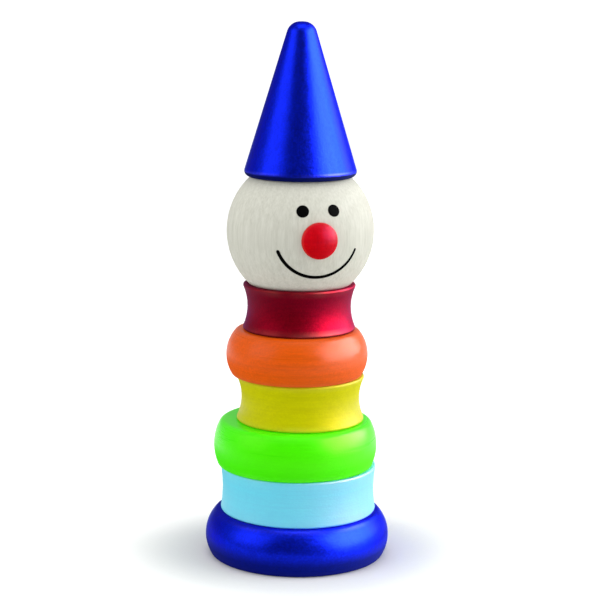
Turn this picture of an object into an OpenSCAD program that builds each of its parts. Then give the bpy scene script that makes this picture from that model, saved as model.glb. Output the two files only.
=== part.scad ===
// Wooden clown stacking figure: turned rings, a ball head and a cone hat threaded on a post.
// Millimetres, +Z up, origin under the middle of the base. The viewer stands on the -Y side.

/* [Base] */
// Widest diameter of the base
base_d = 76.2; // [72:0.2:90]
// Height of the base
base_h = 19; // [16:0.5:21]
// Height of the base's widest line above its underside
base_belly_h = 8.1; // [7:0.1:10]
// Radius of the base's rounded side
base_side_r = 14.6; // [14.2:0.2:20]

/* [Doughnut rings] */
// Widest diameter of the green ring
green_d = 67.4; // [62:0.2:74]
// Widest diameter of the orange ring
orange_d = 58.2; // [54:0.2:64]
// Height of the green and orange rings
doughnut_h = 19; // [16:0.5:21]
// Height of a doughnut ring's widest line above its underside
belly_h = 8.4; // [7:0.1:10]
// Radius of the green ring's rounded side
green_side_r = 20; // [14.2:0.2:24]
// Radius of the orange ring's rounded side
orange_side_r = 15; // [14.2:0.2:20]
// Rounding of the upper edge of the base and the doughnut rings
top_round = 3; // [1:0.1:4.5]
// Rounding of their lower edge
bottom_round = 1.2; // [0.5:0.1:3]

/* [Waisted rings] */
// Diameter of the light blue ring at its rims
light_blue_d = 64.2; // [60:0.2:68]
// Depth of the hollow in the light blue ring's side
light_blue_hollow = 0.7; // [0.3:0.1:3]
// Diameter of the yellow ring at its rims
yellow_d = 52.4; // [50:0.2:58]
// Depth of the hollow in the yellow ring's side
yellow_hollow = 1.9; // [0.3:0.1:3.5]
// Diameter of the red collar at its rims
red_d = 46; // [44:0.2:50]
// Depth of the hollow in the red collar's side
red_hollow = 1.8; // [0.3:0.1:3.5]
// Height of the light blue, yellow and red pieces
waisted_h = 19; // [16:0.5:24]
// Rounding of their rims
rim_round = 0.8; // [0.4:0.1:2]

/* [Head] */
// Diameter of the ball
head_d = 60; // [56:0.5:66]
// Height of the middle of the ball above the head's flat bottom
head_low_h = 21.6; // [19:0.2:24]
// Height of the head's flat top above the middle of the ball
head_top_h = 22.2; // [19:0.2:24]
// Rounding where the ball meets the flats
head_edge_round = 0.8; // [0.3:0.1:2]

/* [Face] */
// How far the face is turned to the viewer's right, in degrees
face_turn = 15; // [-45:1:45]
// Diameter of the nose
nose_d = 14.6; // [12:0.2:17]
// Height of the nose above its seat
nose_h = 4.6; // [3:0.1:7]
// Height of the straight rim of the nose, below its dome
nose_rim_h = 1; // [0.5:0.1:2]
// Width of the flat left around the nose on its seat
nose_seat_margin = 0.2; // [0.1:0.1:1]
// Diameter of the peg on the back of the nose
nose_peg_d = 6; // [4:0.2:8]
// Length of the peg on the back of the nose
nose_peg_len = 8; // [5:0.5:11]
// Diameter of a painted eye
eye_d = 5; // [3:0.1:6]
// Angle from the middle of the face to each eye, in degrees
eye_spread = 13.2; // [11:0.2:20]
// Angle of the eyes above the middle of the head, in degrees
eye_rise = 22.6; // [21:0.2:30]
// How far the middle of the smile's round lies above the middle of the nose, in degrees
smile_rise = 4.4; // [0:0.2:8]
// Angle from the middle of the smile's round to the painted smile, in degrees
smile_angle = 34.5; // [28:0.5:38]
// Width of the painted smile
smile_w = 1.5; // [0.6:0.1:2]
// Angle of the ends of the smile below the middle of its round, in degrees
smile_end = 22; // [0:0.5:45]
// Thickness of the paint
paint_t = 0.15; // [0.1:0.05:0.3]
// Gap left between the paint and the wood
paint_gap = 0.02; // [0.01:0.01:0.05]

/* [Hat] */
// Widest diameter of the hat
hat_d = 45.6; // [42:0.2:50]
// Height of the hat
hat_h = 62; // [50:0.2:75]
// Rounding of the hat's lower edge
hat_edge_round = 2.2; // [1:0.1:4]
// Diameter of the flat on the hat's tip
hat_tip_d = 1.6; // [1:0.2:6]
// Rounding around the hat's tip
hat_tip_round = 5.4; // [3:0.1:7]

/* [Post] */
// Diameter of the post
post_d = 12; // [8:0.5:14]
// Length of the post above the head, inside the hat
post_reach = 16; // [8:0.5:22]
// Rounding of the post's upper end
post_end_round = 3; // [1:0.1:3.8]
// How far the post's lower end stays inside the base
post_recess = 0.5; // [0.2:0.1:2]
// Gap of the glue around the post and around the nose's peg
glue_gap = 0.05; // [0.02:0.01:0.1]
// Play between the post and each piece threaded on it, on each side
bore_play = 1.4; // [0.6:0.1:2]
// Width of the eased edge at each end of a bore
bore_ease = 0.8; // [0.4:0.1:1.5]
// Free height above the post's end in the hat's socket
socket_room = 3; // [1:0.5:6]

/* [Loose fit] */
// Share of its play by which the light blue ring sits to the viewer's right
light_blue_share = 0.2; // [-0.75:0.05:0.75]
// The same share for the green ring
green_share = -0.75; // [-0.75:0.05:0.75]
// The same share for the yellow ring
yellow_share = 0.6; // [-0.75:0.05:0.75]
// The same share for the orange ring
orange_share = -0.5; // [-0.75:0.05:0.75]
// The same share for the red collar
red_share = 0; // [-0.75:0.05:0.75]
// The same share for the head
head_share = 0.1; // [-0.75:0.05:0.75]
// The same share for the hat
hat_share = 0; // [-0.75:0.05:0.75]

/* [Hidden] */
// Smoothness of the preview's curves
$fn = 96;
// Heights at which the pieces rest on each other, from the bottom up, and the height of the head
light_blue_z = base_h;
green_z = light_blue_z + waisted_h;
yellow_z = green_z + doughnut_h;
orange_z = yellow_z + waisted_h;
red_z = orange_z + doughnut_h;
head_z = red_z + waisted_h;
head_h = head_low_h + head_top_h;
hat_z = head_z + head_h;
// Radius of the ball
head_r = head_d / 2;
// Length of the post from its lower end to its rounded top
post_len = hat_z + post_reach - post_recess;
// Radius of the bores in the pieces threaded on the post
bore_r = post_d / 2 + bore_play;
// Depth of the hat's socket
socket_h = post_reach + socket_room;
// Distance of the nose's flat seat from the middle of the ball
nose_seat = sqrt(pow(head_r, 2) - pow(nose_d / 2 + nose_seat_margin, 2));
// Radius of the inner face of the paint
paint_r = head_r + paint_gap;
// How far the cut for a rounding reaches past the corner, in roundings
corner_reach = 4;
// How much wider a rounding is than one that only touches its faces, so that it meets them cleanly
blend = 0.001;
// Half the width of the smile as an angle seen from the middle of the ball
smile_half_angle = smile_w / head_r * 90 / PI;

// A point at a distance and an angle from another
function polar(from, reach, angle) = from + reach * [cos(angle), sin(angle)];

// Rounds one corner of a half section: middle is the rounding's centre, flat_angle points to where it
// meets the flat face and side_angle to where it meets the side
module rounded_corner(middle, round, flat_angle, side_angle) {
    far = round * corner_reach;
    difference() {
        children();
        difference() {
            polygon([middle, polar(middle, far, flat_angle), polar(middle, far, (flat_angle + side_angle) / 2),
                     polar(middle, far, side_angle)]);
            translate(middle) circle(round + blend);
        }
    }
}

// Half section of a turned piece with one round side of radius side, widest at height belly
module bulged_section(widest_r, height, belly, side, upper_round, lower_round) {
    side_mid = [widest_r - side, belly];
    upper = height - upper_round;
    lower = lower_round;
    upper_mid = [side_mid.x + sqrt(pow(side - upper_round, 2) - pow(upper - belly, 2)), upper];
    lower_mid = [side_mid.x + sqrt(pow(side - lower_round, 2) - pow(belly - lower, 2)), lower];
    upper_angle = atan2(upper - belly, upper_mid.x - side_mid.x);
    lower_angle = atan2(lower - belly, lower_mid.x - side_mid.x);
    rounded_corner(upper_mid, upper_round, 90, upper_angle)
        rounded_corner(lower_mid, lower_round, -90, lower_angle)
            intersection() {
                square([widest_r + side, height]);
                union() {
                    square([max(side_mid.x, bore_r), height]);
                    translate(side_mid) circle(side);
                }
            }
}

// Half section of a turned piece with a side hollowed by the given depth between two equal rims
module waisted_section(rim_r, hollow, height) {
    reach = height / 2 - rim_round;
    inset = rim_round - hollow;
    hollow_r = (pow(reach, 2) + pow(inset, 2) - pow(rim_round, 2)) / (2 * hollow);
    hollow_mid = [rim_r - hollow + hollow_r, height / 2];
    upper_mid = [rim_r - rim_round, height - rim_round];
    lower_mid = [rim_r - rim_round, rim_round];
    side_angle = atan2(reach, hollow_mid.x - upper_mid.x);
    rounded_corner(upper_mid, rim_round, 90, -side_angle)
        rounded_corner(lower_mid, rim_round, -90, side_angle)
            difference() {
                square([rim_r + rim_round, height]);
                translate(hollow_mid) circle(hollow_r);
            }
}

// Half section of the bore, with its edges eased at the bottom and, if open, at the top
module bore_section(height, open_top) {
    eased_r = bore_r + bore_ease;
    square([bore_r, height]);
    polygon([[0, 0], [eased_r, 0], [bore_r, bore_ease], [0, bore_ease]]);
    if (open_top)
        polygon([[0, height], [eased_r, height], [bore_r, height - bore_ease], [0, height - bore_ease]]);
}

// Turns a half section into a piece with a bore right through
module threaded_piece(height, share, rest_z) {
    translate([share * bore_play, 0, rest_z])
        rotate_extrude()
            difference() {
                children();
                bore_section(height, true);
            }
}

// Puts a piece with +Z along a line out of the middle of the ball, turned and raised by the given angles
module on_face(turn, rise) {
    translate([head_share * bore_play, 0, head_z + head_low_h])
        rotate([0, 0, turn])
            rotate([90 - rise, 0, 0])
                children();
}

// Half section through the layer of paint, all round the ball
module paint_section() {
    difference() {
        circle(paint_r + paint_t);
        circle(paint_r);
    }
}

module base() {
    color("#0b1590")
        rotate_extrude()
            difference() {
                bulged_section(base_d / 2, base_h, base_belly_h, base_side_r, top_round, bottom_round);
                square([post_d / 2 + glue_gap, base_h]);
            }
}

module post() {
    end_mid = [post_d / 2 - post_end_round, post_len - post_end_round];
    color("#dcc8a0")
        translate([0, 0, post_recess])
            rotate_extrude()
                rounded_corner(end_mid, post_end_round, 90, 0)
                    square([post_d / 2, post_len]);
}

module light_blue_ring() {
    color("#66d9fa")
        threaded_piece(waisted_h, light_blue_share, light_blue_z)
            waisted_section(light_blue_d / 2, light_blue_hollow, waisted_h);
}

module green_ring() {
    color("#58e81c")
        threaded_piece(doughnut_h, green_share, green_z)
            bulged_section(green_d / 2, doughnut_h, belly_h, green_side_r, top_round, bottom_round);
}

module yellow_ring() {
    color("#e0dc10")
        threaded_piece(waisted_h, yellow_share, yellow_z)
            waisted_section(yellow_d / 2, yellow_hollow, waisted_h);
}

module orange_ring() {
    color("#ee7526")
        threaded_piece(doughnut_h, orange_share, orange_z)
            bulged_section(orange_d / 2, doughnut_h, belly_h, orange_side_r, top_round, bottom_round);
}

module red_collar() {
    color("#9c0d1c")
        threaded_piece(waisted_h, red_share, red_z)
            waisted_section(red_d / 2, red_hollow, waisted_h);
}

module head() {
    color("#ece3cf")
        difference() {
            threaded_piece(head_h, head_share, head_z)
                bulged_section(head_r, head_h, head_low_h, head_r, head_edge_round, head_edge_round);
            on_face(face_turn, 0) {
                translate([0, 0, nose_seat]) cylinder(d = head_d, h = head_r);
                translate([0, 0, nose_seat - nose_peg_len - glue_gap])
                    cylinder(d = nose_peg_d + 2 * glue_gap, h = head_r);
            }
        }
}

module nose() {
    dome_h = nose_h - nose_rim_h;
    dome_r = (pow(nose_d / 2, 2) + pow(dome_h, 2)) / (2 * dome_h);
    color("#d3101c")
        on_face(face_turn, 0)
            translate([0, 0, nose_seat])
                rotate_extrude() {
                    square([nose_d / 2, nose_rim_h]);
                    translate([0, -nose_peg_len]) square([nose_peg_d / 2, nose_peg_len]);
                    intersection() {
                        translate([0, nose_h - dome_r]) circle(dome_r);
                        translate([0, nose_rim_h]) square([nose_d / 2, dome_h]);
                    }
                }
}

// A round dot of paint, on the viewer's left or right of the middle of the face
module eye(side) {
    color("#111111")
        on_face(face_turn + side * eye_spread, eye_rise)
            rotate_extrude()
                intersection() {
                    paint_section();
                    square([eye_d / 2, head_d]);
                }
}

module left_eye() {
    eye(-1);
}

module right_eye() {
    eye(1);
}

module smile() {
    color("#111111")
        on_face(face_turn, smile_rise)
            rotate([0, 0, 180 + smile_end])
                rotate_extrude(angle = 180 - 2 * smile_end)
                    intersection() {
                        paint_section();
                        polygon([[0, 0], polar([0, 0], head_d, 90 - smile_angle - smile_half_angle),
                                 polar([0, 0], head_d, 90 - smile_angle + smile_half_angle)]);
                    }
}

module hat() {
    edge_mid = [hat_d / 2 - hat_edge_round, hat_edge_round];
    tip_mid = [hat_tip_d / 2, hat_h - hat_tip_round];
    run = tip_mid - edge_mid;
    lean = atan2(run.y, run.x) - acos((hat_edge_round - hat_tip_round) / norm(run));
    side_start = polar(edge_mid, hat_edge_round, lean);
    foot_r = side_start.x + side_start.y * tan(lean);
    color("#0b1590")
        translate([hat_share * bore_play, 0, hat_z])
            rotate_extrude()
                difference() {
                    rounded_corner(tip_mid, hat_tip_round, 90, lean)
                        rounded_corner(edge_mid, hat_edge_round, -90, lean)
                            polygon([[0, 0], [foot_r, 0], [foot_r - hat_h * tan(lean), hat_h], [0, hat_h]]);
                    bore_section(socket_h, false);
                }
}

base();
post();
light_blue_ring();
green_ring();
yellow_ring();
orange_ring();
red_collar();
head();
nose();
left_eye();
right_eye();
smile();
hat();
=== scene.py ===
"""Looks of a wooden clown stacking figure: turned and lacquered rings, a ball head and a cone hat on a post."""

import math

import bmesh
import bpy
from bpy.props import FloatProperty, FloatVectorProperty, PointerProperty
from mathutils import Matrix, Vector


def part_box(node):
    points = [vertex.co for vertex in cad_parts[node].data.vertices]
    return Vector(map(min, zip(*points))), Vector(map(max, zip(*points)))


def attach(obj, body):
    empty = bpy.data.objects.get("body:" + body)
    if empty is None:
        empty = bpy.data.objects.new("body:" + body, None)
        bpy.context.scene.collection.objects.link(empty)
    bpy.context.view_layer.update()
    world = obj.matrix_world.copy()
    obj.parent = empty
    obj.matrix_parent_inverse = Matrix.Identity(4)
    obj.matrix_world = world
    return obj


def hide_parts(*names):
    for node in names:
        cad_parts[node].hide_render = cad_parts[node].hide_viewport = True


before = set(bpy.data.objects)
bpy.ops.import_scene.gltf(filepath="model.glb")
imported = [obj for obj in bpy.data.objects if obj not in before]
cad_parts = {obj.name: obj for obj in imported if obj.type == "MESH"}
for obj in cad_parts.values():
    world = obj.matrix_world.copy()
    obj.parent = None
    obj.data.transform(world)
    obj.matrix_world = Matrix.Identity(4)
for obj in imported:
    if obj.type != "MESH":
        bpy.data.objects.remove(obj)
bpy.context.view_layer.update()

bl_info = {
    "name": "Wooden clown stacking figure",
    "version": (1, 0, 0),
    "blender": (4, 5, 0),
    "location": "3D View > Sidebar > Clown",
    "description": "Turns, paints and lights the pieces of a stacking clown on its packed frame",
    "category": "Add Mesh",
}

MM = 0.001
UP = Vector((0, 0, 1))
BACK = Vector((0, 1, 0))

# How many steps a piece is turned in, all the way round
LATHE_STEPS = 160
# Largest angle between two neighbouring points of a round in an outline
OUTLINE_STEP = math.radians(6)
# Edges that bend by more than this stay crisp
CREASE = math.radians(13)
# Corners closer than this are merged
SEAM = 0.0005 * MM
# Faces this close to the wall of a bore count as part of it
SKIN = 0.1 * MM
# Roundings tighter than this radius count as rims, where lacquer runs thin
RIM_RADIUS = 4 * MM
# How far the eased edge of a bore counts as a rim
EASED_RIM = 0.5
# How far an upright face counts as turned down, and how fast that grows as a face turns further down
UPRIGHT_UNDER = 0.3
UNDER_GROWTH = 3
# Where the hat's straight side has points, as shares of its length
CONE_SHARES = (0.01, 0.25, 0.5, 0.75, 0.99)

# Steps across the ground of an eye and of the smile, and round the back of the paint, and how square that
# back is
EYE_GROUND_STEPS = 4
LINE_GROUND_STEPS = 6
PAINT_STEPS = 10
PAINT_SQUARE = 0.6
# Steps along the smile's brush line and round each of its ends
BRUSH_STEPS = 72
END_STEPS = 6
# How much of its width the line loses towards its left and its right end, where the brush lifts
LEFT_LIFT = 0.04
RIGHT_LIFT = 0.25
# Smallest share of the section that is left at the tip of a round end
END_TIP = 0.02
# A small turn along the line, which gives its direction
SMALL_TURN = 0.001
# Corners this close to the plane of a section belong to it
SECTION_DEPTH = 0.02 * MM

# How each lacquer is laid on, where it differs from the usual values in lacquered_beech
COATS = {
    "base": {"mirror": 0.3, "flake": 0.85, "roughness": 0.34, "lines": 0.18, "dull_and_shade_below": 0.75},
    "light_blue": {"mirror": 1.0, "roughness": 0.5, "lines": 0.035},
    "green": {"mirror": 0.27, "roughness": 0.3, "lines": 0.05},
    "yellow": {"mirror": 0.32, "roughness": 0.45, "lines": 0.07},
    "orange": {"mirror": 0.16, "roughness": 0.31, "lines": 0.1},
    "red": {"mirror": 0.2, "flake": 0.65, "roughness": 0.5, "lines": 0.16, "dull_and_shade_below": 0.25},
    "nose": {"mirror": 0.1},
    "hat": {"mirror": 0.3, "flake": 0.85, "roughness": 0.34, "lines": 0.18, "dull_and_shade_below": 1.0},
}
# Depth of the relief in a lacquer, with metal flake in it and without
FLAKE_RELIEF = 0.055 * MM
GRAIN_RELIEF = 0.12 * MM
# Pale beech that shows through thin lacquer, and its share there
THIN_BEECH = "#f0dfc0"
THIN_SHARE = 0.45
# Distance between two lines of Blender's wave texture at scale 1
WAVE_REPEAT = 0.314159

# The camera stands where the photo was taken from, in metres, tilted and rolled by these degrees
CAMERA_PLACE = (0.12 * MM, -0.76757, 0.24912)
CAMERA_TILT = 90 - 10.495
CAMERA_ROLL = 0.584
CAMERA_LENS = 114.525
CAMERA_SENSOR = 36
# The point that the soft boxes face, near the middle of the figure
LIGHT_AIM = Vector((0, 0, 0.11))
# A wide soft box on the right, a weaker one on the left, a faint one overhead, and a card beside the right one:
# place, width and height in metres, and power in watts
SOFT_BOXES = {
    "soft_box_right": ((0.82, -0.084, 0.42), 0.82, 0.92, 5.8),
    "soft_box_left": ((-0.72, -0.32, 0.5), 0.7, 0.7, 2.9),
    "soft_box_above": ((0.0, -0.1, 1.2), 0.8, 0.8, 4.4),
    "shine_card_right": ((0.82, -0.04, 0.5), 1.4, 0.8, 50.0),
}
# Strength of the room's light, and of the room in the shine of the lacquers, behind the camera and elsewhere
ROOM_LIGHT = 0.45
DARK_ROOM = 0.08
PALE_ROOM = 0.48
# Where the room is dark in the shine: the directions along Y at which it is darkest and at which that ends
ROOM_DARKEST = -0.95
ROOM_DARK_END = 0.0
# The same on the floor, where the paper's reflection is painted dark, as places along Y in metres
FLOOR_DARKEST = -0.2
FLOOR_DARK_END = -0.07
# Side of the square floor in metres, and how far it lies under the base, so that the two faces don't mix
FLOOR_SIZE = 180
FLOOR_DROP = 0.05 * MM
# Two tones of the floor's white paper, and the dark grey painted as its reflection in front of the figure
PAPER_TONES = ("#e4e4e4", "#e8e8e8")
PAINTED_DARK_REFLECTION = "#404040"
# The paper's glow at distances in metres: under the base's edge, outside its shadow, and what is added far off.
# The weak glow near the base paints a soft shadow ring round the figure, on top of its real shadow
GLOW_UNDER, GLOW_UNDER_AT = 0.05, 0.042
GLOW_OUTSIDE, GLOW_OUTSIDE_AT = 0.5, 0.09
GLOW_FAR, GLOW_FAR_AT = 0.3, 2.5


def linear(code):
    """Turns an sRGB hex colour into linear red, green and blue."""
    parts = [int(code[i : i + 2], 16) / 255 for i in (1, 3, 5)]
    return tuple(p / 12.92 if p <= 0.04045 else ((p + 0.055) / 1.055) ** 2.4 for p in parts)


def length(name, description, default):
    """A length in metres that a user may change."""
    return FloatProperty(
        name=name, description=description, default=default, min=0, unit="LENGTH", subtype="DISTANCE"
    )


def angle(name, description, degrees):
    """An angle that a user may change."""
    return FloatProperty(
        name=name, description=description, default=math.radians(degrees), subtype="ANGLE"
    )


def colour(name, description, code):
    """A colour that a user may change."""
    return FloatVectorProperty(
        name=name, description=description, default=linear(code), min=0, max=1, size=3, subtype="COLOR"
    )


class ClownSizes(bpy.types.PropertyGroup):
    """Sizes of the turned shapes, where the boxes of the frame's nodes don't give them"""

    base_side: length("Base side", "Radius of the base's round side", 14.6 * MM)
    base_belly: length("Base belly", "Height of the base's widest line above its underside", 8.1 * MM)
    green_side: length("Green side", "Radius of the green ring's round side", 20 * MM)
    orange_side: length("Orange side", "Radius of the orange ring's round side", 15 * MM)
    belly: length("Belly height", "Height of a doughnut ring's widest line above its underside", 8.4 * MM)
    top_round: length("Upper edge", "Rounding of the upper edge of base and doughnut rings", 3 * MM)
    bottom_round: length("Lower edge", "Rounding of the lower edge of base and doughnut rings", 1.2 * MM)
    light_blue_hollow: length("Light blue hollow", "Depth of the hollow in the light blue ring", 0.7 * MM)
    yellow_hollow: length("Yellow hollow", "Depth of the hollow in the yellow ring", 1.9 * MM)
    red_hollow: length("Red hollow", "Depth of the hollow in the red collar", 1.8 * MM)
    rim_round: length("Rims", "Rounding of the rims of the waisted rings", 0.8 * MM)
    head_low: length("Ball middle", "Height of the ball's middle above the head's flat bottom", 21.6 * MM)
    head_round: length("Head edges", "Rounding where the ball meets its flats", 0.8 * MM)
    bore: length("Bore", "Radius of the bores that run on the post", 7.4 * MM)
    ease: length("Eased edge", "Width of the eased edge at each end of a bore", 0.8 * MM)
    post_hole: length("Post hole", "Radius of the hole for the post in the base", 6.05 * MM)
    post_round: length("Post end", "Rounding of the post's upper end", 3 * MM)
    post_foot: length("Post foot", "Chamfer of the post's lower end", 0.4 * MM)
    hat_edge: length("Hat edge", "Rounding of the hat's lower edge", 2.2 * MM)
    hat_tip: length("Hat tip", "Rounding around the hat's tip", 5.4 * MM)
    hat_flat: length("Hat flat", "Radius of the flat on the hat's tip", 0.8 * MM)
    hat_socket: length("Hat socket", "Depth of the hat's socket", 19 * MM)
    face_turn: angle("Face turn", "How far the face is turned to the viewer's right", 15)
    nose_radius: length("Nose", "Radius of the nose", 7.3 * MM)
    nose_height: length("Nose height", "Height of the nose above its seat", 4.6 * MM)
    nose_rim: length("Nose rim", "Height of the straight rim of the nose", 1 * MM)
    nose_edge: length("Nose edge", "Rounding between the rim and the dome of the nose", 0.5 * MM)
    nose_margin: length("Nose margin", "Width of the flat left around the nose", 0.2 * MM)
    peg_radius: length("Peg", "Radius of the peg on the back of the nose", 3 * MM)
    peg_length: length("Peg length", "Length of the peg on the back of the nose", 8 * MM)
    peg_play: length("Peg play", "Gap of the glue around the peg", 0.05 * MM)
    eye_radius: length("Eye", "Radius of a painted eye", 2.5 * MM)
    eye_spread: angle("Eye spread", "Angle from the middle of the face to each eye", 13.2)
    eye_rise: angle("Eye rise", "Angle of the eyes above the middle of the head", 22.6)
    smile_rise: angle("Smile rise", "How far the middle of the smile's round lies above the nose's", 4.4)
    smile_angle: angle("Smile", "Angle from the middle of the smile's round to the smile", 34.5)
    smile_end: angle("Smile ends", "Angle of the smile's ends below the middle of its round", 22)
    smile_width: length("Smile width", "Width of the brush line in the middle of the smile", 1.5 * MM)
    paint: length("Paint", "Thickness of the paint at its crown", 0.15 * MM)
    paint_gap: length("Paint gap", "Gap between the paint and the wood", 0.02 * MM)


class ClownColours(bpy.types.PropertyGroup):
    """Colours of the finishes, and the tint of the shine of each lacquer"""

    deep_blue: colour("Deep blue", "Lacquer of the base and the hat", "#0d20cb")
    deep_blue_shine: colour("Deep blue shine", "Tint of that lacquer's shine", "#507aa8")
    light_blue: colour("Light blue", "Lacquer of the light blue ring", "#62e4ff")
    light_blue_shine: colour("Light blue shine", "Tint of that lacquer's shine", "#ff6868")
    green: colour("Green", "Lacquer of the green ring", "#48ff02")
    green_shine: colour("Green shine", "Tint of that lacquer's shine", "#fff078")
    yellow: colour("Yellow", "Lacquer of the yellow ring", "#cdca06")
    yellow_shine: colour("Yellow shine", "Tint of that lacquer's shine", "#ffb800")
    orange: colour("Orange", "Lacquer of the orange ring", "#e85b00")
    orange_shine: colour("Orange shine", "Tint of that lacquer's shine", "#fff0ff")
    red: colour("Red", "Lacquer of the red collar", "#820412")
    red_shine: colour("Red shine", "Tint of that lacquer's shine", "#8808f0")
    nose_red: colour("Nose red", "Lacquer of the nose", "#ca0408")
    nose_shine: colour("Nose shine", "Tint of that lacquer's shine", "#ff78f0")
    maple: colour("Pale maple", "Bare wood of the head", "#dbdbcf")
    maple_line: colour("Maple line", "Darker lines in the head's wood", "#c6c6b8")
    beech: colour("Beech", "Bare wood of the post and of the bores", "#dcc4a0")
    beech_line: colour("Beech line", "Darker lines and flecks in that wood", "#b48e66")
    black: colour("Black", "Paint of the eyes and the smile", "#040404")


def put(tree, kind, inputs=None, **settings):
    """Adds a node, sets its properties, and gives its sockets values or links."""
    node = tree.nodes.new(kind)
    for name, value in settings.items():
        setattr(node, name, value)
    for name, value in (inputs or {}).items():
        if isinstance(value, bpy.types.NodeSocket):
            tree.links.new(value, node.inputs[name])
        else:
            node.inputs[name].default_value = value
    return node


def opaque(rgb, light=1.0):
    """A colour with its alpha, made lighter or darker."""
    return (*(min(part * light, 1.0) for part in rgb), 1.0)


def new_material(name):
    """An empty material and its node tree."""
    material = bpy.data.materials.new(name)
    material.use_nodes = True
    material.node_tree.nodes.clear()
    return material, material.node_tree


def wood_figure(tree, along, fibre, run, ring, pith):
    """Fibres of a width and a run along one axis, and growth rings of a spacing round a pith line."""
    object_place = put(tree, "ShaderNodeTexCoord").outputs["Object"]
    stretch = [1 / fibre] * 3
    stretch["XYZ".index(along)] = 1 / run
    laid = put(tree, "ShaderNodeMapping", {"Vector": object_place, "Scale": stretch})
    fibres = put(
        tree,
        "ShaderNodeTexNoise",
        {"Vector": laid.outputs["Vector"], "Scale": 1.0, "Detail": 3.0, "Roughness": 0.65},
    )
    centred = put(tree, "ShaderNodeMapping", {"Vector": object_place, "Location": pith})
    rings = put(
        tree,
        "ShaderNodeTexWave",
        {
            "Vector": centred.outputs["Vector"],
            "Scale": WAVE_REPEAT / ring,
            "Distortion": 2.5,
            "Detail": 2.0,
            "Detail Scale": 0.5,
        },
        wave_type="RINGS",
        rings_direction=along,
    )
    return object_place, fibres.outputs["Fac"], rings.outputs["Fac"]


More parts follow.
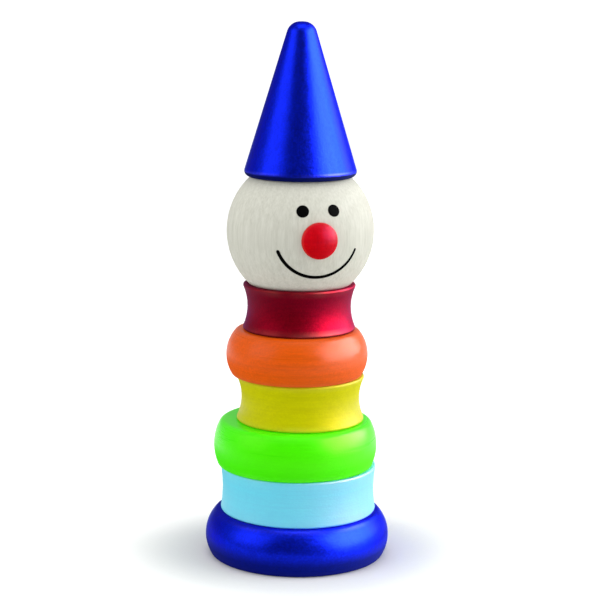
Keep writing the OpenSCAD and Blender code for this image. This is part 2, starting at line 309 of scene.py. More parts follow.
def lacquered_beech(
    name, rgb, shine, along, mirror=0.24, flake=0.0, roughness=0.42, lines=0.1, dull_and_shade_below=0.85
):
    """Turned beech under dyed satin lacquer: a deep even colour with fine grain and pores, a soft shine broken
    by turning lines, and a paler line where the lacquer runs thin over the rims. Fine metal flake in a lacquer
    hides the turning lines, shows as a faint speckle and keeps the edges dark. Faces turned down are made dull,
    and in a lacquer with flake they lose the flake and are darkened as painted shade. Beech fibres are 0.02 mm
    wide, flakes 0.05 mm across and the lathe's lines 0.1 mm apart, and all are drawn several times coarser so
    that they show. Mirror is the lacquer's specular level, flake its share of metal flake, lines how far its
    colour wavers along the grain and the turning lines, and fall how dull faces turned straight down are, and
    with flake how much of it they lose and how much painted shade they get."""
    material, tree = new_material(name)
    place, fibres, rings = wood_figure(
        tree, along, fibre=0.7 * MM, run=24 * MM, ring=3.2 * MM, pith=(34 * MM, 90 * MM, -20 * MM)
    )
    round_lines = (1 / (40 * MM), 1 / (40 * MM), 1 / (0.9 * MM))
    around = put(tree, "ShaderNodeMapping", {"Vector": place, "Scale": round_lines})
    lathe_lines = put(
        tree, "ShaderNodeTexNoise", {"Vector": around.outputs["Vector"], "Scale": 1.0, "Detail": 2.0}
    )
    pores = put(tree, "ShaderNodeTexNoise", {"Vector": place, "Scale": 1 / (0.8 * MM), "Detail": 2.0})
    cloud = put(tree, "ShaderNodeTexNoise", {"Vector": place, "Scale": 1 / (14 * MM), "Detail": 2.0})
    grain = put(tree, "ShaderNodeMath", {0: rings, 1: 0.12, 2: fibres}, operation="MULTIPLY_ADD")
    worked = pores if flake else lathe_lines
    broken = put(
        tree, "ShaderNodeMath", {0: worked.outputs["Fac"], 1: pores.outputs["Fac"]}, operation="MULTIPLY"
    )
    lined = put(
        tree,
        "ShaderNodeMix",
        {"Factor": 0.6, "A": grain.outputs[0], "B": broken.outputs[0]},
        data_type="FLOAT",
    )
    marked = put(
        tree, "ShaderNodeMapRange", {"Value": lined.outputs["Result"], "From Min": 0.25, "From Max": 0.5}
    )
    dyed = put(
        tree,
        "ShaderNodeMix",
        {"Factor": marked.outputs["Result"], 6: opaque(rgb, 1 - lines), 7: opaque(rgb, 1 + lines)},
        data_type="RGBA",
    )
    rim = put(tree, "ShaderNodeAttribute", attribute_name="rim")
    thin = put(
        tree,
        "ShaderNodeMapRange",
        {"Value": cloud.outputs["Fac"], "From Min": 0.35, "From Max": 0.75, "To Min": 0.02, "To Max": 0.14},
    )
    worn = put(
        tree, "ShaderNodeMath", {0: rim.outputs["Fac"], 1: thin.outputs["Result"]}, operation="MULTIPLY"
    )
    pale = [(1 - THIN_SHARE) * dye + THIN_SHARE * wood for dye, wood in zip(rgb, linear(THIN_BEECH))]
    finish = put(
        tree,
        "ShaderNodeMix",
        {"Factor": worn.outputs[0], 6: dyed.outputs[2], 7: opaque(pale)},
        data_type="RGBA",
    )
    gloss = put(
        tree,
        "ShaderNodeMapRange",
        {
            "Value": worked.outputs["Fac"],
            "From Min": 0.3,
            "From Max": 0.7,
            "To Min": roughness - 0.04,
            "To Max": roughness + 0.05,
        },
    )
    relief = put(
        tree, "ShaderNodeMath", {0: broken.outputs[0], 1: 1.6, 2: fibres}, operation="MULTIPLY_ADD"
    )
    depth = FLAKE_RELIEF if flake else GRAIN_RELIEF
    bump = put(
        tree, "ShaderNodeBump", {"Height": relief.outputs[0], "Strength": 0.5, "Distance": depth}
    )
    under = put(tree, "ShaderNodeAttribute", attribute_name="under").outputs["Fac"]
    # How far a face is turned down: it is made dull there and, with flake, darkened as painted shade
    bare = put(tree, "ShaderNodeMath", {0: under, 1: dull_and_shade_below}, operation="MULTIPLY")
    rough = put(
        tree,
        "ShaderNodeMix",
        {"Factor": bare.outputs[0], "A": gloss.outputs["Result"], "B": 1.0},
        data_type="FLOAT",
    )
    looks = {
        "Base Color": finish.outputs[2],
        "Roughness": rough.outputs["Result"],
        "Normal": bump.outputs["Normal"],
        "IOR": 1.5,
        "Specular IOR Level": mirror,
        "Specular Tint": opaque(shine),
    }
    # With flake, faces turned down lose it and are mixed towards a dark copy of the colour: painted shade
    if flake:
        shaded_below = put(
            tree,
            "ShaderNodeMix",
            {"Factor": bare.outputs[0], 6: finish.outputs[2], 7: opaque(rgb, 0.15)},
            data_type="RGBA",
        )
        flake_below = put(
            tree, "ShaderNodeMapRange", {"Value": under, "To Min": flake, "To Max": (1 - dull_and_shade_below) * flake}
        )
        looks |= {"Base Color": shaded_below.outputs[2], "Metallic": flake_below.outputs["Result"]}
    shader = put(tree, "ShaderNodeBsdfPrincipled", looks)
    put(tree, "ShaderNodeOutputMaterial", {"Surface": shader.outputs["BSDF"]})
    return material


def bare_wood(name, rgb, line, along, fibre, ring, pith, flecks, roughness, coat):
    """Sanded wood with no colour on it: fine fibres, growth rings and short flecks, and a dull or satin
    surface. Fibres finer than a tenth of a millimetre are drawn coarser so that they show."""
    material, tree = new_material(name)
    place, fibres, rings = wood_figure(tree, along, fibre, 24 * fibre, ring, pith)
    short = [1 / (0.5 * MM)] * 3
    short["XYZ".index(along)] = 1 / (3 * MM)
    fleck_place = put(tree, "ShaderNodeMapping", {"Vector": place, "Scale": short})
    fleck_field = put(
        tree, "ShaderNodeTexNoise", {"Vector": fleck_place.outputs["Vector"], "Scale": 1.0, "Detail": 1.0}
    )
    fleck = put(
        tree,
        "ShaderNodeMapRange",
        {"Value": fleck_field.outputs["Fac"], "From Min": 0.64, "From Max": 0.76, "To Max": flecks},
    )
    fine = put(
        tree,
        "ShaderNodeMapRange",
        {"Value": fibres, "From Min": 0.35, "From Max": 0.72, "To Max": 0.7},
    )
    grown = put(
        tree, "ShaderNodeMath", {0: rings, 1: 0.16, 2: fine.outputs["Result"]}, operation="MULTIPLY_ADD"
    )
    lines = put(
        tree,
        "ShaderNodeMath",
        {0: grown.outputs[0], 1: fleck.outputs["Result"]},
        operation="ADD",
        use_clamp=True,
    )
    cloud = put(tree, "ShaderNodeTexNoise", {"Vector": place, "Scale": 1 / (16 * MM), "Detail": 2.0})
    tone = put(
        tree,
        "ShaderNodeMix",
        {"Factor": cloud.outputs["Fac"], 6: opaque(rgb, 0.96), 7: opaque(rgb, 1.04)},
        data_type="RGBA",
    )
    figured = put(
        tree,
        "ShaderNodeMix",
        {"Factor": lines.outputs[0], 6: tone.outputs[2], 7: opaque(line)},
        data_type="RGBA",
    )
    dull = put(
        tree,
        "ShaderNodeMapRange",
        {
            "Value": fibres,
            "From Min": 0.3,
            "From Max": 0.7,
            "To Min": roughness - 0.06,
            "To Max": roughness + 0.06,
        },
    )
    bump = put(tree, "ShaderNodeBump", {"Height": fibres, "Strength": 0.5, "Distance": 0.03 * MM})
    shader = put(
        tree,
        "ShaderNodeBsdfPrincipled",
        {
            "Base Color": figured.outputs[2],
            "Roughness": dull.outputs["Result"],
            "Normal": bump.outputs["Normal"],
            "IOR": 1.5,
            "Specular IOR Level": 0.05,
            "Coat Weight": coat,
            "Coat Roughness": 0.5,
        },
    )
    put(tree, "ShaderNodeOutputMaterial", {"Surface": shader.outputs["BSDF"]})
    return material


def brushed_black(rgb):
    """Black toy paint put on with a brush: near black and dull, with faint uneven thickness."""
    material, tree = new_material("black_toy_paint")
    place = put(tree, "ShaderNodeTexCoord").outputs["Object"]
    # Brush unevenness of about 0.6 mm
    uneven = put(tree, "ShaderNodeTexNoise", {"Vector": place, "Scale": 1 / (0.6 * MM), "Detail": 2.0})
    tone = put(
        tree,
        "ShaderNodeMix",
        {"Factor": uneven.outputs["Fac"], 6: opaque(rgb, 0.6), 7: opaque(rgb, 1.8)},
        data_type="RGBA",
    )
    gloss = put(
        tree, "ShaderNodeMapRange", {"Value": uneven.outputs["Fac"], "To Min": 0.55, "To Max": 0.7}
    )
    bump = put(
        tree, "ShaderNodeBump", {"Height": uneven.outputs["Fac"], "Strength": 0.4, "Distance": 0.02 * MM}
    )
    shader = put(
        tree,
        "ShaderNodeBsdfPrincipled",
        {
            "Base Color": tone.outputs[2],
            "Roughness": gloss.outputs["Result"],
            "Normal": bump.outputs["Normal"],
            "IOR": 1.5,
            "Specular IOR Level": 0.01,
        },
    )
    put(tree, "ShaderNodeOutputMaterial", {"Surface": shader.outputs["BSDF"]})
    return material


def maple_of_head(colours):
    """Pale maple with a thin matt clear coat, its grain upright and its pith far to one side."""
    return bare_wood(
        "clear_coated_maple",
        colours.maple,
        colours.maple_line,
        along="Z",
        fibre=0.8 * MM,
        ring=4 * MM,
        pith=(100 * MM, -40 * MM, 0),
        flecks=0.2,
        roughness=0.6,
        coat=0.02,
    )


def beech_of(name, colours, along):
    """Sanded beech with no coat, with the short dark flecks that beech has."""
    if name in bpy.data.materials:
        return bpy.data.materials[name]
    return bare_wood(
        name,
        colours.beech,
        colours.beech_line,
        along=along,
        fibre=0.6 * MM,
        ring=2.2 * MM,
        pith=(12 * MM, 20 * MM, 0),
        flecks=0.6,
        roughness=0.6,
        coat=0.0,
    )


def arc(middle, radius, start, stop):
    """Points of a round, both ends included, each with how tight it is: 0 for a wide round, 1 for a rim."""
    count = max(2, math.ceil(abs(stop - start) / OUTLINE_STEP))
    tight = max(0.0, 1 - radius / RIM_RADIUS)
    turns = [start + (stop - start) * i / count for i in range(count + 1)]
    return [(middle[0] + radius * math.cos(t), middle[1] + radius * math.sin(t), tight) for t in turns]


def support(flat, edge, share=0.97):
    """A point on a flat close to its rounded edge, which keeps the flat's shading flat."""
    return (flat[0] + share * (edge[0] - flat[0]), flat[1] + share * (edge[1] - flat[1]), 0.0)


def bulged_side(widest, height, belly, side, upper, lower):
    """Outline of a round side from the underside to the top, widest at the belly."""
    side_x = widest - side
    upper_x = side_x + math.sqrt((side - upper) ** 2 - (height - upper - belly) ** 2)
    lower_x = side_x + math.sqrt((side - lower) ** 2 - (belly - lower) ** 2)
    upper_angle = math.atan2(height - upper - belly, upper_x - side_x)
    lower_angle = math.atan2(lower - belly, lower_x - side_x)
    return (
        arc((lower_x, lower), lower, -math.pi / 2, lower_angle)
        + arc((side_x, belly), side, lower_angle, upper_angle)[1:-1]
        + arc((upper_x, height - upper), upper, upper_angle, math.pi / 2)
    )


def waisted_side(rim, height, hollow, round_):
    """Outline of a hollowed side between two equal rims, from the underside to the top."""
    reach = height / 2 - round_
    inset = round_ - hollow
    hollow_r = (reach**2 + inset**2 - round_**2) / (2 * hollow)
    hollow_x = rim - hollow + hollow_r
    lean = math.atan2(reach, hollow_x - rim + round_)
    return (
        arc((rim - round_, round_), round_, -math.pi / 2, lean)
        + arc((hollow_x, height / 2), hollow_r, math.pi + lean, math.pi - lean)[1:-1]
        + arc((rim - round_, height - round_), round_, -lean, math.pi / 2)
    )


def bored(side, height, hole, ease):
    """Closes an outline with a bore down the middle, its edges eased."""
    under, top = (hole + ease, 0.0, EASED_RIM), (hole + ease, height, EASED_RIM)
    wall = [(hole, height - ease, 0.0), (hole, ease, 0.0)] if ease else []
    return [under, support(under, side[0]), *side, support(top, side[-1]), top, *wall, under]


def draw_outline(name, points):
    """Starts a piece as one corner and draws its outline corner by corner, leaving edit mode on."""
    if bpy.context.object and bpy.context.object.mode != "OBJECT":
        bpy.ops.object.mode_set(mode="OBJECT")
    bpy.ops.object.select_all(action="DESELECT")
    bpy.ops.mesh.primitive_plane_add(size=MM, location=(0, 0, 0))
    piece = bpy.context.object
    piece.name = name
    piece.data.name = name
    bpy.ops.object.mode_set(mode="EDIT")
    bpy.ops.mesh.merge(type="CENTER")
    bpy.ops.transform.translate(value=points[0])
    for before, after in zip(points, points[1:]):
        bpy.ops.mesh.extrude_region_move(TRANSFORM_OT_translate={"value": after - before})
    bpy.ops.mesh.select_all(action="SELECT")
    return piece


def close_piece(piece):
    """Merges seams and poles, turns the faces outwards and smooths all but the crisp edges."""
    bpy.ops.mesh.select_all(action="SELECT")
    bpy.ops.mesh.remove_doubles(threshold=SEAM)
    bpy.ops.mesh.normals_make_consistent(inside=False)
    bpy.ops.object.mode_set(mode="OBJECT")
    bpy.ops.object.shade_smooth_by_angle(angle=CREASE)
    shape = bmesh.new()
    shape.from_mesh(piece.data)
    closed = all(edge.is_manifold for edge in shape.edges)
    volume = shape.calc_volume(signed=True)
    shape.free()
    if not closed or volume <= 0:
        raise RuntimeError(f"{piece.name} is open or inside out")


def turned(name, outline, foot, axis=UP, start=BACK):
    """Turns an outline of radius, height and tightness round an axis, and marks its rims and the faces turned
    down."""
    points = [foot + axis * height + start * radius for radius, height, _ in outline]
    piece = draw_outline(name, points)
    bpy.ops.mesh.spin(steps=LATHE_STEPS, angle=2 * math.pi, center=foot, axis=axis)
    close_piece(piece)
    for mark in ("rim", "under"):
        piece.data.attributes.new(mark, "FLOAT", "POINT")
    rim, under = piece.data.attributes["rim"].data, piece.data.attributes["under"].data
    for vertex in piece.data.vertices:
        out = vertex.co - foot
        height = out.dot(axis)
        radius = (out - axis * height).length
        nearest = min(outline, key=lambda point: (point[0] - radius) ** 2 + (point[1] - height) ** 2)
        rim[vertex.index].value = nearest[2]
        under[vertex.index].value = min(1.0, max(0.0, UPRIGHT_UNDER - UNDER_GROWTH * vertex.normal.z))
    return piece


def place_of(node):
    """Foot, radius and height of a turned node, from its box in the frame."""
    low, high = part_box(node)
    return Vector(((low.x + high.x) / 2, 0, low.z)), (high.x - low.x) / 2, high.z - low.z


def finish_piece(piece, node, body, slot, *materials):
    """Gives a piece its materials, lets it ride on its body and stand for its CAD node."""
    for material in materials:
        piece.data.materials.append(material)
    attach(piece, body)
    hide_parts(node)


def bare_bore(piece, foot, reach, top=math.inf):
    """Gives the second material, bare wood, to the faces of the bore, up to a height above the piece's foot."""
    for face in piece.data.polygons:
        out = face.center - foot
        if math.hypot(out.x, out.y) < reach and out.z < top:
            face.material_index = 1


def lacquered_ring(context, tone, node, side):
    """Turns a ring with a bore from the outline of its side, and lacquers all but the bore."""
    sizes, colours = context.scene.clown_sizes, context.scene.clown_colours
    foot, _, height = place_of(node)
    piece = turned(f"turned_{node}", bored(side, height, sizes.bore, sizes.ease), foot)
    rgb, shine = getattr(colours, tone), getattr(colours, f"{tone}_shine")
    lacquer = lacquered_beech(f"{tone}_lacquered_beech", rgb, shine, "X", **COATS[tone])
    bare = beech_of("sanded_beech_bores", colours, "X")
    finish_piece(piece, node, node, f"{tone}_lacquer", lacquer, bare)
    bare_bore(piece, foot, sizes.bore + sizes.ease)


def face_line(turn, rise):
    """Direction from the middle of the ball to a place on the face."""
    return Vector(
        (math.cos(rise) * math.sin(turn), -math.cos(rise) * math.cos(turn), math.sin(rise))
    )


def ball_middle(sizes):
    """Middle and radius of the ball head."""
    foot, radius, _ = place_of("head")
    return foot + UP * sizes.head_low, radius


def nose_seat(sizes, ball):
    """Distance of the nose's flat seat from the middle of the ball."""
    return math.sqrt(ball**2 - (sizes.nose_radius + sizes.nose_margin) ** 2)


def paint_back(half, paint, turn):
    """How far out a point of the paint's rounded back lies, and how thick the paint is there."""
    return half * math.cos(turn), paint * math.sin(turn) ** PAINT_SQUARE


class CLOWN_OT_base(bpy.types.Operator):
    """Turn the base with its hole for the post, in deep blue lacquer"""

    bl_idname = "clown.base"
    bl_label = "Base"

    def execute(self, context):
        sizes, colours = context.scene.clown_sizes, context.scene.clown_colours
        foot, radius, height = place_of("base")
        side = bulged_side(
            radius, height, sizes.base_belly, sizes.base_side, sizes.top_round, sizes.bottom_round
        )
        piece = turned("turned_base", bored(side, height, sizes.post_hole, 0), foot)
        rgb, shine = colours.deep_blue, colours.deep_blue_shine
        lacquer = lacquered_beech("deep_blue_lacquered_base", rgb, shine, "X", **COATS["base"])
        bare = beech_of("sanded_beech_bores", colours, "X")
        finish_piece(piece, "base", "base", "deep_blue_lacquer", lacquer, bare)
        bare_bore(piece, foot, sizes.post_hole + SKIN)
        return {"FINISHED"}


class CLOWN_OT_post(bpy.types.Operator):
    """Turn the beech post that the pieces are threaded on"""

    bl_idname = "clown.post"
    bl_label = "Post"

    def execute(self, context):
        sizes, colours = context.scene.clown_sizes, context.scene.clown_colours
        foot, radius, height = place_of("post")
        round_, chamfer = sizes.post_round, sizes.post_foot
        lower = [(0, 0, 0), (radius - chamfer, 0, 0), (radius, chamfer, 0)]
        upper = arc((radius - round_, height - round_), round_, 0, math.pi / 2)
        outline = [*lower, support(lower[-1], upper[0]), *upper, (0, height, 0)]
        piece = turned("beech_post", outline, foot)
        finish_piece(piece, "post", "base", "post_wood", beech_of("sanded_beech_post", colours, "Z"))
        return {"FINISHED"}


class CLOWN_OT_doughnut_rings(bpy.types.Operator):
    """Turn the green and orange doughnut rings"""

    bl_idname = "clown.doughnut_rings"
    bl_label = "Doughnut rings"

    def execute(self, context):
        sizes = context.scene.clown_sizes
        for tone, node in (("green", "green_ring"), ("orange", "orange_ring")):
            _, radius, height = place_of(node)
            round_side = getattr(sizes, f"{tone}_side")
            side = bulged_side(
                radius, height, sizes.belly, round_side, sizes.top_round, sizes.bottom_round
            )
            lacquered_ring(context, tone, node, side)
        return {"FINISHED"}


class CLOWN_OT_waisted_rings(bpy.types.Operator):
    """Turn the light blue and yellow rings and the red collar, whose sides are hollowed"""

    bl_idname = "clown.waisted_rings"
    bl_label = "Waisted rings"

    def execute(self, context):
        sizes = context.scene.clown_sizes
        rings = (("light_blue", "light_blue_ring"), ("yellow", "yellow_ring"), ("red", "red_collar"))
        for tone, node in rings:
            _, radius, height = place_of(node)
            side = waisted_side(radius, height, getattr(sizes, f"{tone}_hollow"), sizes.rim_round)
            lacquered_ring(context, tone, node, side)
        return {"FINISHED"}


class CLOWN_OT_head(bpy.types.Operator):
    """Turn the ball head, and cut the flat seat and the peg hole of the nose into it"""

    bl_idname = "clown.head"
    bl_label = "Head"

    def execute(self, context):
        sizes, colours = context.scene.clown_sizes, context.scene.clown_colours
        foot, radius, height = place_of("head")
        middle, _ = ball_middle(sizes)
        side = bulged_side(radius, height, sizes.head_low, radius, sizes.head_round, sizes.head_round)
        piece = turned("turned_head", bored(side, height, sizes.bore, sizes.ease), foot)
        axis = face_line(sizes.face_turn, 0)
        seat = nose_seat(sizes, radius)
        hole, wide = sizes.peg_radius + sizes.peg_play, 2 * sizes.nose_radius
        deep = seat - sizes.peg_length - sizes.peg_play
        peg_hole = [(0, deep, 0), (hole, deep, 0), (hole, seat, 0)]
        cut = [*peg_hole, (wide, seat, 0), (wide, radius + wide, 0), (0, radius + wide, 0)]
        cutter = turned("nose_seat_cutter", cut, middle, axis, UP)
        bpy.ops.object.select_all(action="DESELECT")
        context.view_layer.objects.active = piece
        piece.select_set(True)
        bpy.ops.object.modifier_add(type="BOOLEAN")
        piece.modifiers[-1].object = cutter
        piece.modifiers[-1].operation = "DIFFERENCE"
        piece.modifiers[-1].solver = "EXACT"
        bpy.ops.object.modifier_apply(modifier=piece.modifiers[-1].name)
        bpy.data.objects.remove(cutter)
        bpy.ops.object.shade_smooth_by_angle(angle=CREASE)
        finish_piece(piece, "head", "head", "bare_wood", maple_of_head(colours))
        return {"FINISHED"}


class CLOWN_OT_nose(bpy.types.Operator):
    """Turn the round nose with its peg, in red lacquer"""

    bl_idname = "clown.nose"
    bl_label = "Nose"

    def execute(self, context):
        sizes, colours = context.scene.clown_sizes, context.scene.clown_colours
        middle, radius = ball_middle(sizes)
        axis = face_line(sizes.face_turn, 0)
        dome = sizes.nose_height - sizes.nose_rim
        dome_r = (sizes.nose_radius**2 + dome**2) / (2 * dome)
        edge_x = sizes.nose_radius - sizes.nose_edge
        dome_z = sizes.nose_height - dome_r
        edge_z = dome_z + math.sqrt((dome_r - sizes.nose_edge) ** 2 - edge_x**2)
        lean = math.atan2(edge_z - dome_z, edge_x)
        peg, long = sizes.peg_radius, sizes.peg_length
        outline = (
            [(0, -long, 0), (peg, -long, 0), (peg, 0, 0), (sizes.nose_radius, 0, 0)]
            + arc((edge_x, edge_z), sizes.nose_edge, 0, lean)
            + arc((0, dome_z), dome_r, lean, math.pi / 2)[1:]
        )
        piece = turned("turned_nose", outline, middle + axis * nose_seat(sizes, radius), axis, UP)
        rgb, shine = colours.nose_red, colours.nose_shine
        lacquer = lacquered_beech("red_lacquered_nose", rgb, shine, "Z", **COATS["nose"])
        finish_piece(piece, "nose", "head", "nose_lacquer", lacquer)
        return {"FINISHED"}


class CLOWN_OT_painted_face(bpy.types.Operator):
    """Dot the two eyes and brush the smile on the head, in black paint"""

    bl_idname = "clown.painted_face"
    bl_label = "Painted face"

    def execute(self, context):
        sizes, colours = context.scene.clown_sizes, context.scene.clown_colours
        black = brushed_black(colours.black)
        middle, ball = ball_middle(sizes)
        ground = ball + sizes.paint_gap
        wide = math.asin(sizes.eye_radius / ground)
        section = [(wide * i / EYE_GROUND_STEPS, ground) for i in range(EYE_GROUND_STEPS + 1)]
        for i in range(1, PAINT_STEPS + 1):
            out, thick = paint_back(wide, sizes.paint, math.pi * i / (2 * PAINT_STEPS))
            section.append((out, ground + thick))
        outline = [(reach * math.sin(turn), reach * math.cos(turn), 0) for turn, reach in section]
        for node, hand in (("left_eye", -1), ("right_eye", 1)):
            axis = face_line(sizes.face_turn + hand * sizes.eye_spread, sizes.eye_rise)
            start = axis.cross(UP).cross(axis).normalized()
            piece = turned(f"painted_{node}", outline, middle, axis, start)
            finish_piece(piece, node, "head", "black_paint", black)
        self.brush_smile(sizes, middle, ground, black)
        return {"FINISHED"}

    def brush_smile(self, sizes, middle, ground, black):
        """Sweeps the flat round section of a brush line round an axis a little above the nose's, thins it
        towards its ends, where the brush lifts, and closes it with round ends."""
        axis = face_line(sizes.face_turn, sizes.smile_rise)
        right = Vector((math.cos(sizes.face_turn), math.sin(sizes.face_turn), 0))
        up = axis.cross(right)
        half = sizes.smile_width / 2 / ground

        def on_ball(turn, reach=sizes.smile_angle, height=ground):
            out = right * math.cos(turn) + up * math.sin(turn)
            return middle + (axis * math.cos(reach) + out * math.sin(reach)) * height

        first, last = math.pi + sizes.smile_end, 2 * math.pi - sizes.smile_end
        section = [
            (sizes.smile_angle + half * (2 * i / LINE_GROUND_STEPS - 1), ground)
            for i in range(LINE_GROUND_STEPS + 1)
        ]
        for i in range(1, PAINT_STEPS):
            out, thick = paint_back(half, sizes.paint, math.pi * i / PAINT_STEPS)
            section.append((sizes.smile_angle + out, ground + thick))
        section.append(section[0])
        piece = draw_outline("painted_smile", [on_ball(first, *point) for point in section])
        bpy.ops.mesh.remove_doubles(threshold=SEAM)
        # With no window, spin turns clockwise seen from the axis' tip
        bpy.ops.mesh.spin(steps=BRUSH_STEPS, angle=first - last, center=middle, axis=axis)
        bpy.ops.mesh.select_mode(type="VERT")
        for i in range(BRUSH_STEPS + 1):
            turn = first + (last - first) * i / BRUSH_STEPS
            share = 2 * i / BRUSH_STEPS - 1
            thin = 1 - (RIGHT_LIFT if share > 0 else LEFT_LIFT) * share**2
            centre = on_ball(turn)
            self.select_section(piece, centre, on_ball(turn + SMALL_TURN) - centre, sizes.smile_width)
            bpy.ops.transform.resize(value=(thin, thin, thin), center_override=centre)
            if i in (0, BRUSH_STEPS):
                step = -SMALL_TURN if i == 0 else SMALL_TURN
                ahead = (on_ball(turn + step) - centre).normalized()
                self.round_end(centre, ahead * (thin * sizes.smile_width / 2))
        close_piece(piece)
        finish_piece(piece, "smile", "head", "black_paint", black)

    def select_section(self, piece, centre, along, width):
        """Selects the corners of the brush line's section at a point of its run."""
        along = along.normalized()
        bpy.ops.mesh.select_all(action="DESELECT")
        shape = bmesh.from_edit_mesh(piece.data)
        for vertex in shape.verts:
            out = vertex.co - centre
            if abs(out.dot(along)) < SECTION_DEPTH and out.length < width:
                vertex.select_set(True)
        shape.select_flush(True)
        bmesh.update_edit_mesh(piece.data)

    def round_end(self, centre, reach):
        """Closes the selected end section with a round that stands out as far as the reach."""
        for i in range(END_STEPS):
            now, then = math.pi / 2 * i / END_STEPS, math.pi / 2 * (i + 1) / END_STEPS
            move = reach * (math.sin(then) - math.sin(now))
            bpy.ops.mesh.extrude_region_move(TRANSFORM_OT_translate={"value": move})
            centre = centre + move
            shrink = max(math.cos(then), END_TIP) / math.cos(now)
            bpy.ops.transform.resize(value=(shrink, shrink, shrink), center_override=centre)
        bpy.ops.mesh.merge(type="CENTER")


class CLOWN_OT_hat(bpy.types.Operator):
    """Turn the cone hat with its socket for the post's end, in deep blue lacquer"""

    bl_idname = "clown.hat"
    bl_label = "Hat"

    def execute(self, context):
        sizes, colours = context.scene.clown_sizes, context.scene.clown_colours
        foot, radius, height = place_of("hat")
        edge = Vector((radius - sizes.hat_edge, sizes.hat_edge))
        tip = Vector((sizes.hat_flat, height - sizes.hat_tip))
        run = tip - edge
        lean = math.atan2(run.y, run.x) - math.acos((sizes.hat_edge - sizes.hat_tip) / run.length)
        brim = arc(edge, sizes.hat_edge, -math.pi / 2, lean)
        peak = arc(tip, sizes.hat_tip, lean, math.pi / 2)
        cone = [support(brim[-1], peak[0], share) for share in CONE_SHARES]
        bore, deep = sizes.bore, sizes.hat_socket
        mouth = (bore + sizes.ease, 0.0, EASED_RIM)
        socket = [(0, deep, 0), (bore, deep, 0), (bore, sizes.ease, 0), mouth]
        outline = [*socket, support(mouth, brim[0]), *brim, *cone, *peak, (0, height, 0)]
        piece = turned("turned_hat", outline, foot)
        rgb, shine = colours.deep_blue, colours.deep_blue_shine
        lacquer = lacquered_beech("deep_blue_lacquered_hat", rgb, shine, "Z", **COATS["hat"])
        bare = beech_of("sanded_beech_socket", colours, "Z")
        finish_piece(piece, "hat", "hat", "deep_blue_lacquer", lacquer, bare)
        bare_bore(piece, foot, bore + sizes.ease, deep + SKIN)
        return {"FINISHED"}


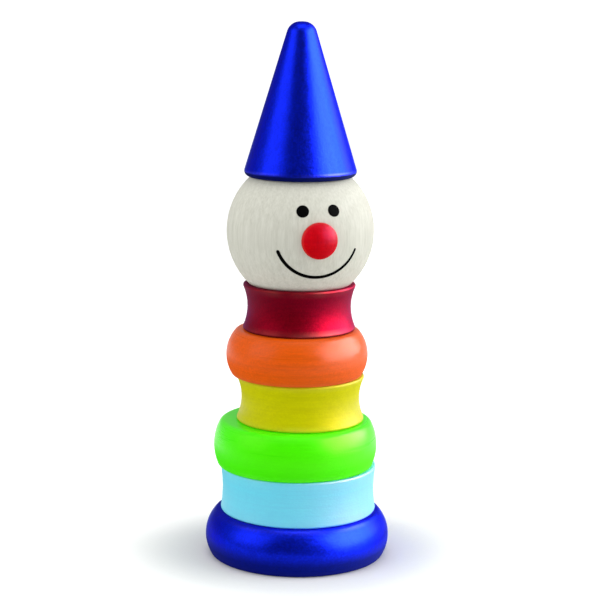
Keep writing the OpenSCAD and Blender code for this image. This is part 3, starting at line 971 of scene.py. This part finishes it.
class CLOWN_OT_stage(bpy.types.Operator):
    """Lay a pale floor, hang the soft lights and set the camera"""

    bl_idname = "clown.stage"
    bl_label = "Stage"

    def execute(self, context):
        scene = context.scene
        bpy.ops.object.select_all(action="DESELECT")
        bpy.ops.mesh.primitive_plane_add(size=FLOOR_SIZE, location=(0, 0, -FLOOR_DROP))
        floor = context.object
        floor.name = "studio_floor"
        floor.data.materials.append(self.white_paper())
        lamps = {name: self.soft_box(name, *settings) for name, settings in SOFT_BOXES.items()}
        # The card shows in the shine of the lacquers and adds no light of its own
        lamps["shine_card_right"].visible_diffuse = False
        scene.world = self.studio_air()
        tilt = Matrix.Rotation(math.radians(CAMERA_TILT), 3, "X")
        roll = Matrix.Rotation(math.radians(CAMERA_ROLL), 3, "Z")
        bpy.ops.object.camera_add(location=CAMERA_PLACE, rotation=(tilt @ roll).to_euler())
        camera = context.object
        camera.name = "photo_camera"
        camera.data.sensor_width = CAMERA_SENSOR
        camera.data.lens = CAMERA_LENS
        scene.camera = camera
        scene.view_settings.view_transform = "Standard"
        return {"FINISHED"}

    def white_paper(self):
        """White studio paper: matt, and white to the camera all over except in the figure's soft shadow, which
        is partly real and partly painted by a glow that fades towards the base. It glows more further off,
        where the lamps reach less. In front of the figure the paper is drawn dark grey in the shine, a painted
        dark reflection."""
        material, tree = new_material("white_studio_paper")
        sight = put(tree, "ShaderNodeLightPath").outputs
        shiny = put(
            tree,
            "ShaderNodeMath",
            {0: sight["Is Glossy Ray"], 1: sight["Is Transmission Ray"]},
            operation="MAXIMUM",
        )
        place = put(tree, "ShaderNodeTexCoord").outputs["Object"]
        # In front of the figure the paper's glow is left out of the shine, and the paper is drawn dark grey in
        # it, a painted dark reflection
        across = put(tree, "ShaderNodeSeparateXYZ", {0: place})
        behind = put(
            tree,
            "ShaderNodeMapRange",
            {"Value": across.outputs["Y"], "From Min": FLOOR_DARKEST, "From Max": FLOOR_DARK_END},
            interpolation_type="SMOOTHSTEP",
        )
        shown = put(
            tree, "ShaderNodeMath", {0: shiny.outputs[0], 1: behind.outputs["Result"]}, operation="MULTIPLY"
        )
        dark_reflection_share = put(
            tree, "ShaderNodeMath", {0: shiny.outputs[0], 1: shown.outputs[0]}, operation="SUBTRACT"
        )
        seen = put(
            tree, "ShaderNodeMath", {0: sight["Is Camera Ray"], 1: shown.outputs[0]}, operation="MAXIMUM"
        )
        away = put(tree, "ShaderNodeVectorMath", {0: place}, operation="LENGTH").outputs["Value"]
        # The glow fades towards the base's edge, which paints a soft shadow ring round the figure
        painted_shadow_glow = put(
            tree,
            "ShaderNodeMapRange",
            {
                "Value": away,
                "From Min": GLOW_UNDER_AT,
                "From Max": GLOW_OUTSIDE_AT,
                "To Min": GLOW_UNDER,
                "To Max": GLOW_OUTSIDE,
            },
            interpolation_type="SMOOTHSTEP",
        )
        far = put(
            tree,
            "ShaderNodeMapRange",
            {"Value": away, "From Min": GLOW_OUTSIDE_AT, "From Max": GLOW_FAR_AT, "To Max": GLOW_FAR},
        )
        fade = put(
            tree, "ShaderNodeMath", {0: painted_shadow_glow.outputs["Result"], 1: far.outputs["Result"]}, operation="ADD"
        )
        strength = put(
            tree, "ShaderNodeMath", {0: seen.outputs[0], 1: fade.outputs[0]}, operation="MULTIPLY"
        )
        # Paper fibres are far finer than the 2 mm at which they are drawn so that they show
        fibre = put(tree, "ShaderNodeTexNoise", {"Vector": place, "Scale": 1 / (2 * MM), "Detail": 2.0})
        dark, light = (opaque(linear(code)) for code in PAPER_TONES)
        tone = put(
            tree, "ShaderNodeMix", {"Factor": fibre.outputs["Fac"], 6: dark, 7: light}, data_type="RGBA"
        )
        paper = put(
            tree,
            "ShaderNodeMix",
            {"Factor": dark_reflection_share.outputs[0], 6: tone.outputs[2], 7: opaque(linear(PAINTED_DARK_REFLECTION))},
            data_type="RGBA",
        )
        matt = put(tree, "ShaderNodeBsdfDiffuse", {"Color": paper.outputs[2]})
        glow = put(
            tree, "ShaderNodeEmission", {"Color": (1, 1, 1, 1), "Strength": strength.outputs[0]}
        )
        both = put(tree, "ShaderNodeAddShader", {0: matt.outputs[0], 1: glow.outputs[0]})
        put(tree, "ShaderNodeOutputMaterial", {"Surface": both.outputs[0]})
        return material

    def studio_air(self):
        """An evenly pale room, which in the shine of the lacquers is dark behind the camera. Past the floor's
        far edge the camera sees white, as on the floor."""
        world = bpy.data.worlds.new("studio_air")
        world.use_nodes = True
        tree = world.node_tree
        tree.nodes.clear()
        way = put(tree, "ShaderNodeSeparateXYZ", {0: put(tree, "ShaderNodeTexCoord").outputs["Generated"]})
        room = put(
            tree,
            "ShaderNodeMapRange",
            {
                "Value": way.outputs["Y"],
                "From Min": ROOM_DARKEST,
                "From Max": ROOM_DARK_END,
                "To Min": DARK_ROOM,
                "To Max": PALE_ROOM,
            },
            interpolation_type="SMOOTHSTEP",
        )
        sight = put(tree, "ShaderNodeLightPath").outputs
        level = put(
            tree,
            "ShaderNodeMix",
            {"Factor": sight["Is Glossy Ray"], "A": ROOM_LIGHT, "B": room.outputs["Result"]},
            data_type="FLOAT",
        )
        white = put(
            tree,
            "ShaderNodeMath",
            {0: level.outputs["Result"], 1: sight["Is Camera Ray"]},
            operation="MAXIMUM",
        )
        light = put(
            tree, "ShaderNodeBackground", {"Color": (1, 1, 1, 1), "Strength": white.outputs[0]}
        )
        put(tree, "ShaderNodeOutputWorld", {"Surface": light.outputs["Background"]})
        return world

    def soft_box(self, name, place, width, height, watts):
        """Hangs a soft box of a size that faces the middle of the figure."""
        aim = (LIGHT_AIM - Vector(place)).to_track_quat("-Z", "Y").to_euler()
        bpy.ops.object.light_add(type="AREA", location=place, rotation=aim)
        lamp = bpy.context.object
        lamp.name = name
        lamp.data.shape = "RECTANGLE"
        lamp.data.size = width
        lamp.data.size_y = height
        lamp.data.energy = watts
        return lamp


OPERATORS = (
    CLOWN_OT_base,
    CLOWN_OT_post,
    CLOWN_OT_waisted_rings,
    CLOWN_OT_doughnut_rings,
    CLOWN_OT_head,
    CLOWN_OT_nose,
    CLOWN_OT_painted_face,
    CLOWN_OT_hat,
    CLOWN_OT_stage,
)


class CLOWN_PT_sidebar(bpy.types.Panel):
    """Lists the pieces of the figure, the stage, and their sizes and colours"""

    bl_idname = "CLOWN_PT_sidebar"
    bl_label = "Stacking clown"
    bl_space_type = "VIEW_3D"
    bl_region_type = "UI"
    bl_category = "Clown"

    def draw(self, context):
        for operator in OPERATORS:
            self.layout.operator(operator.bl_idname)
        for group in (context.scene.clown_sizes, context.scene.clown_colours):
            box = self.layout.box()
            for name in group.__annotations__:
                box.prop(group, name)


CLASSES = (ClownSizes, ClownColours, *OPERATORS, CLOWN_PT_sidebar)


def register():
    for kind in CLASSES:
        bpy.utils.register_class(kind)
    bpy.types.Scene.clown_sizes = PointerProperty(type=ClownSizes)
    bpy.types.Scene.clown_colours = PointerProperty(type=ClownColours)


def unregister():
    del bpy.types.Scene.clown_colours
    del bpy.types.Scene.clown_sizes
    for kind in reversed(CLASSES):
        bpy.utils.unregister_class(kind)


def main():
    """Makes every piece and the stage."""
    register()
    bpy.ops.clown.base()
    bpy.ops.clown.post()
    bpy.ops.clown.waisted_rings()
    bpy.ops.clown.doughnut_rings()
    bpy.ops.clown.head()
    bpy.ops.clown.nose()
    bpy.ops.clown.painted_face()
    bpy.ops.clown.hat()
    bpy.ops.clown.stage()


if __name__ == "__main__":
    main()
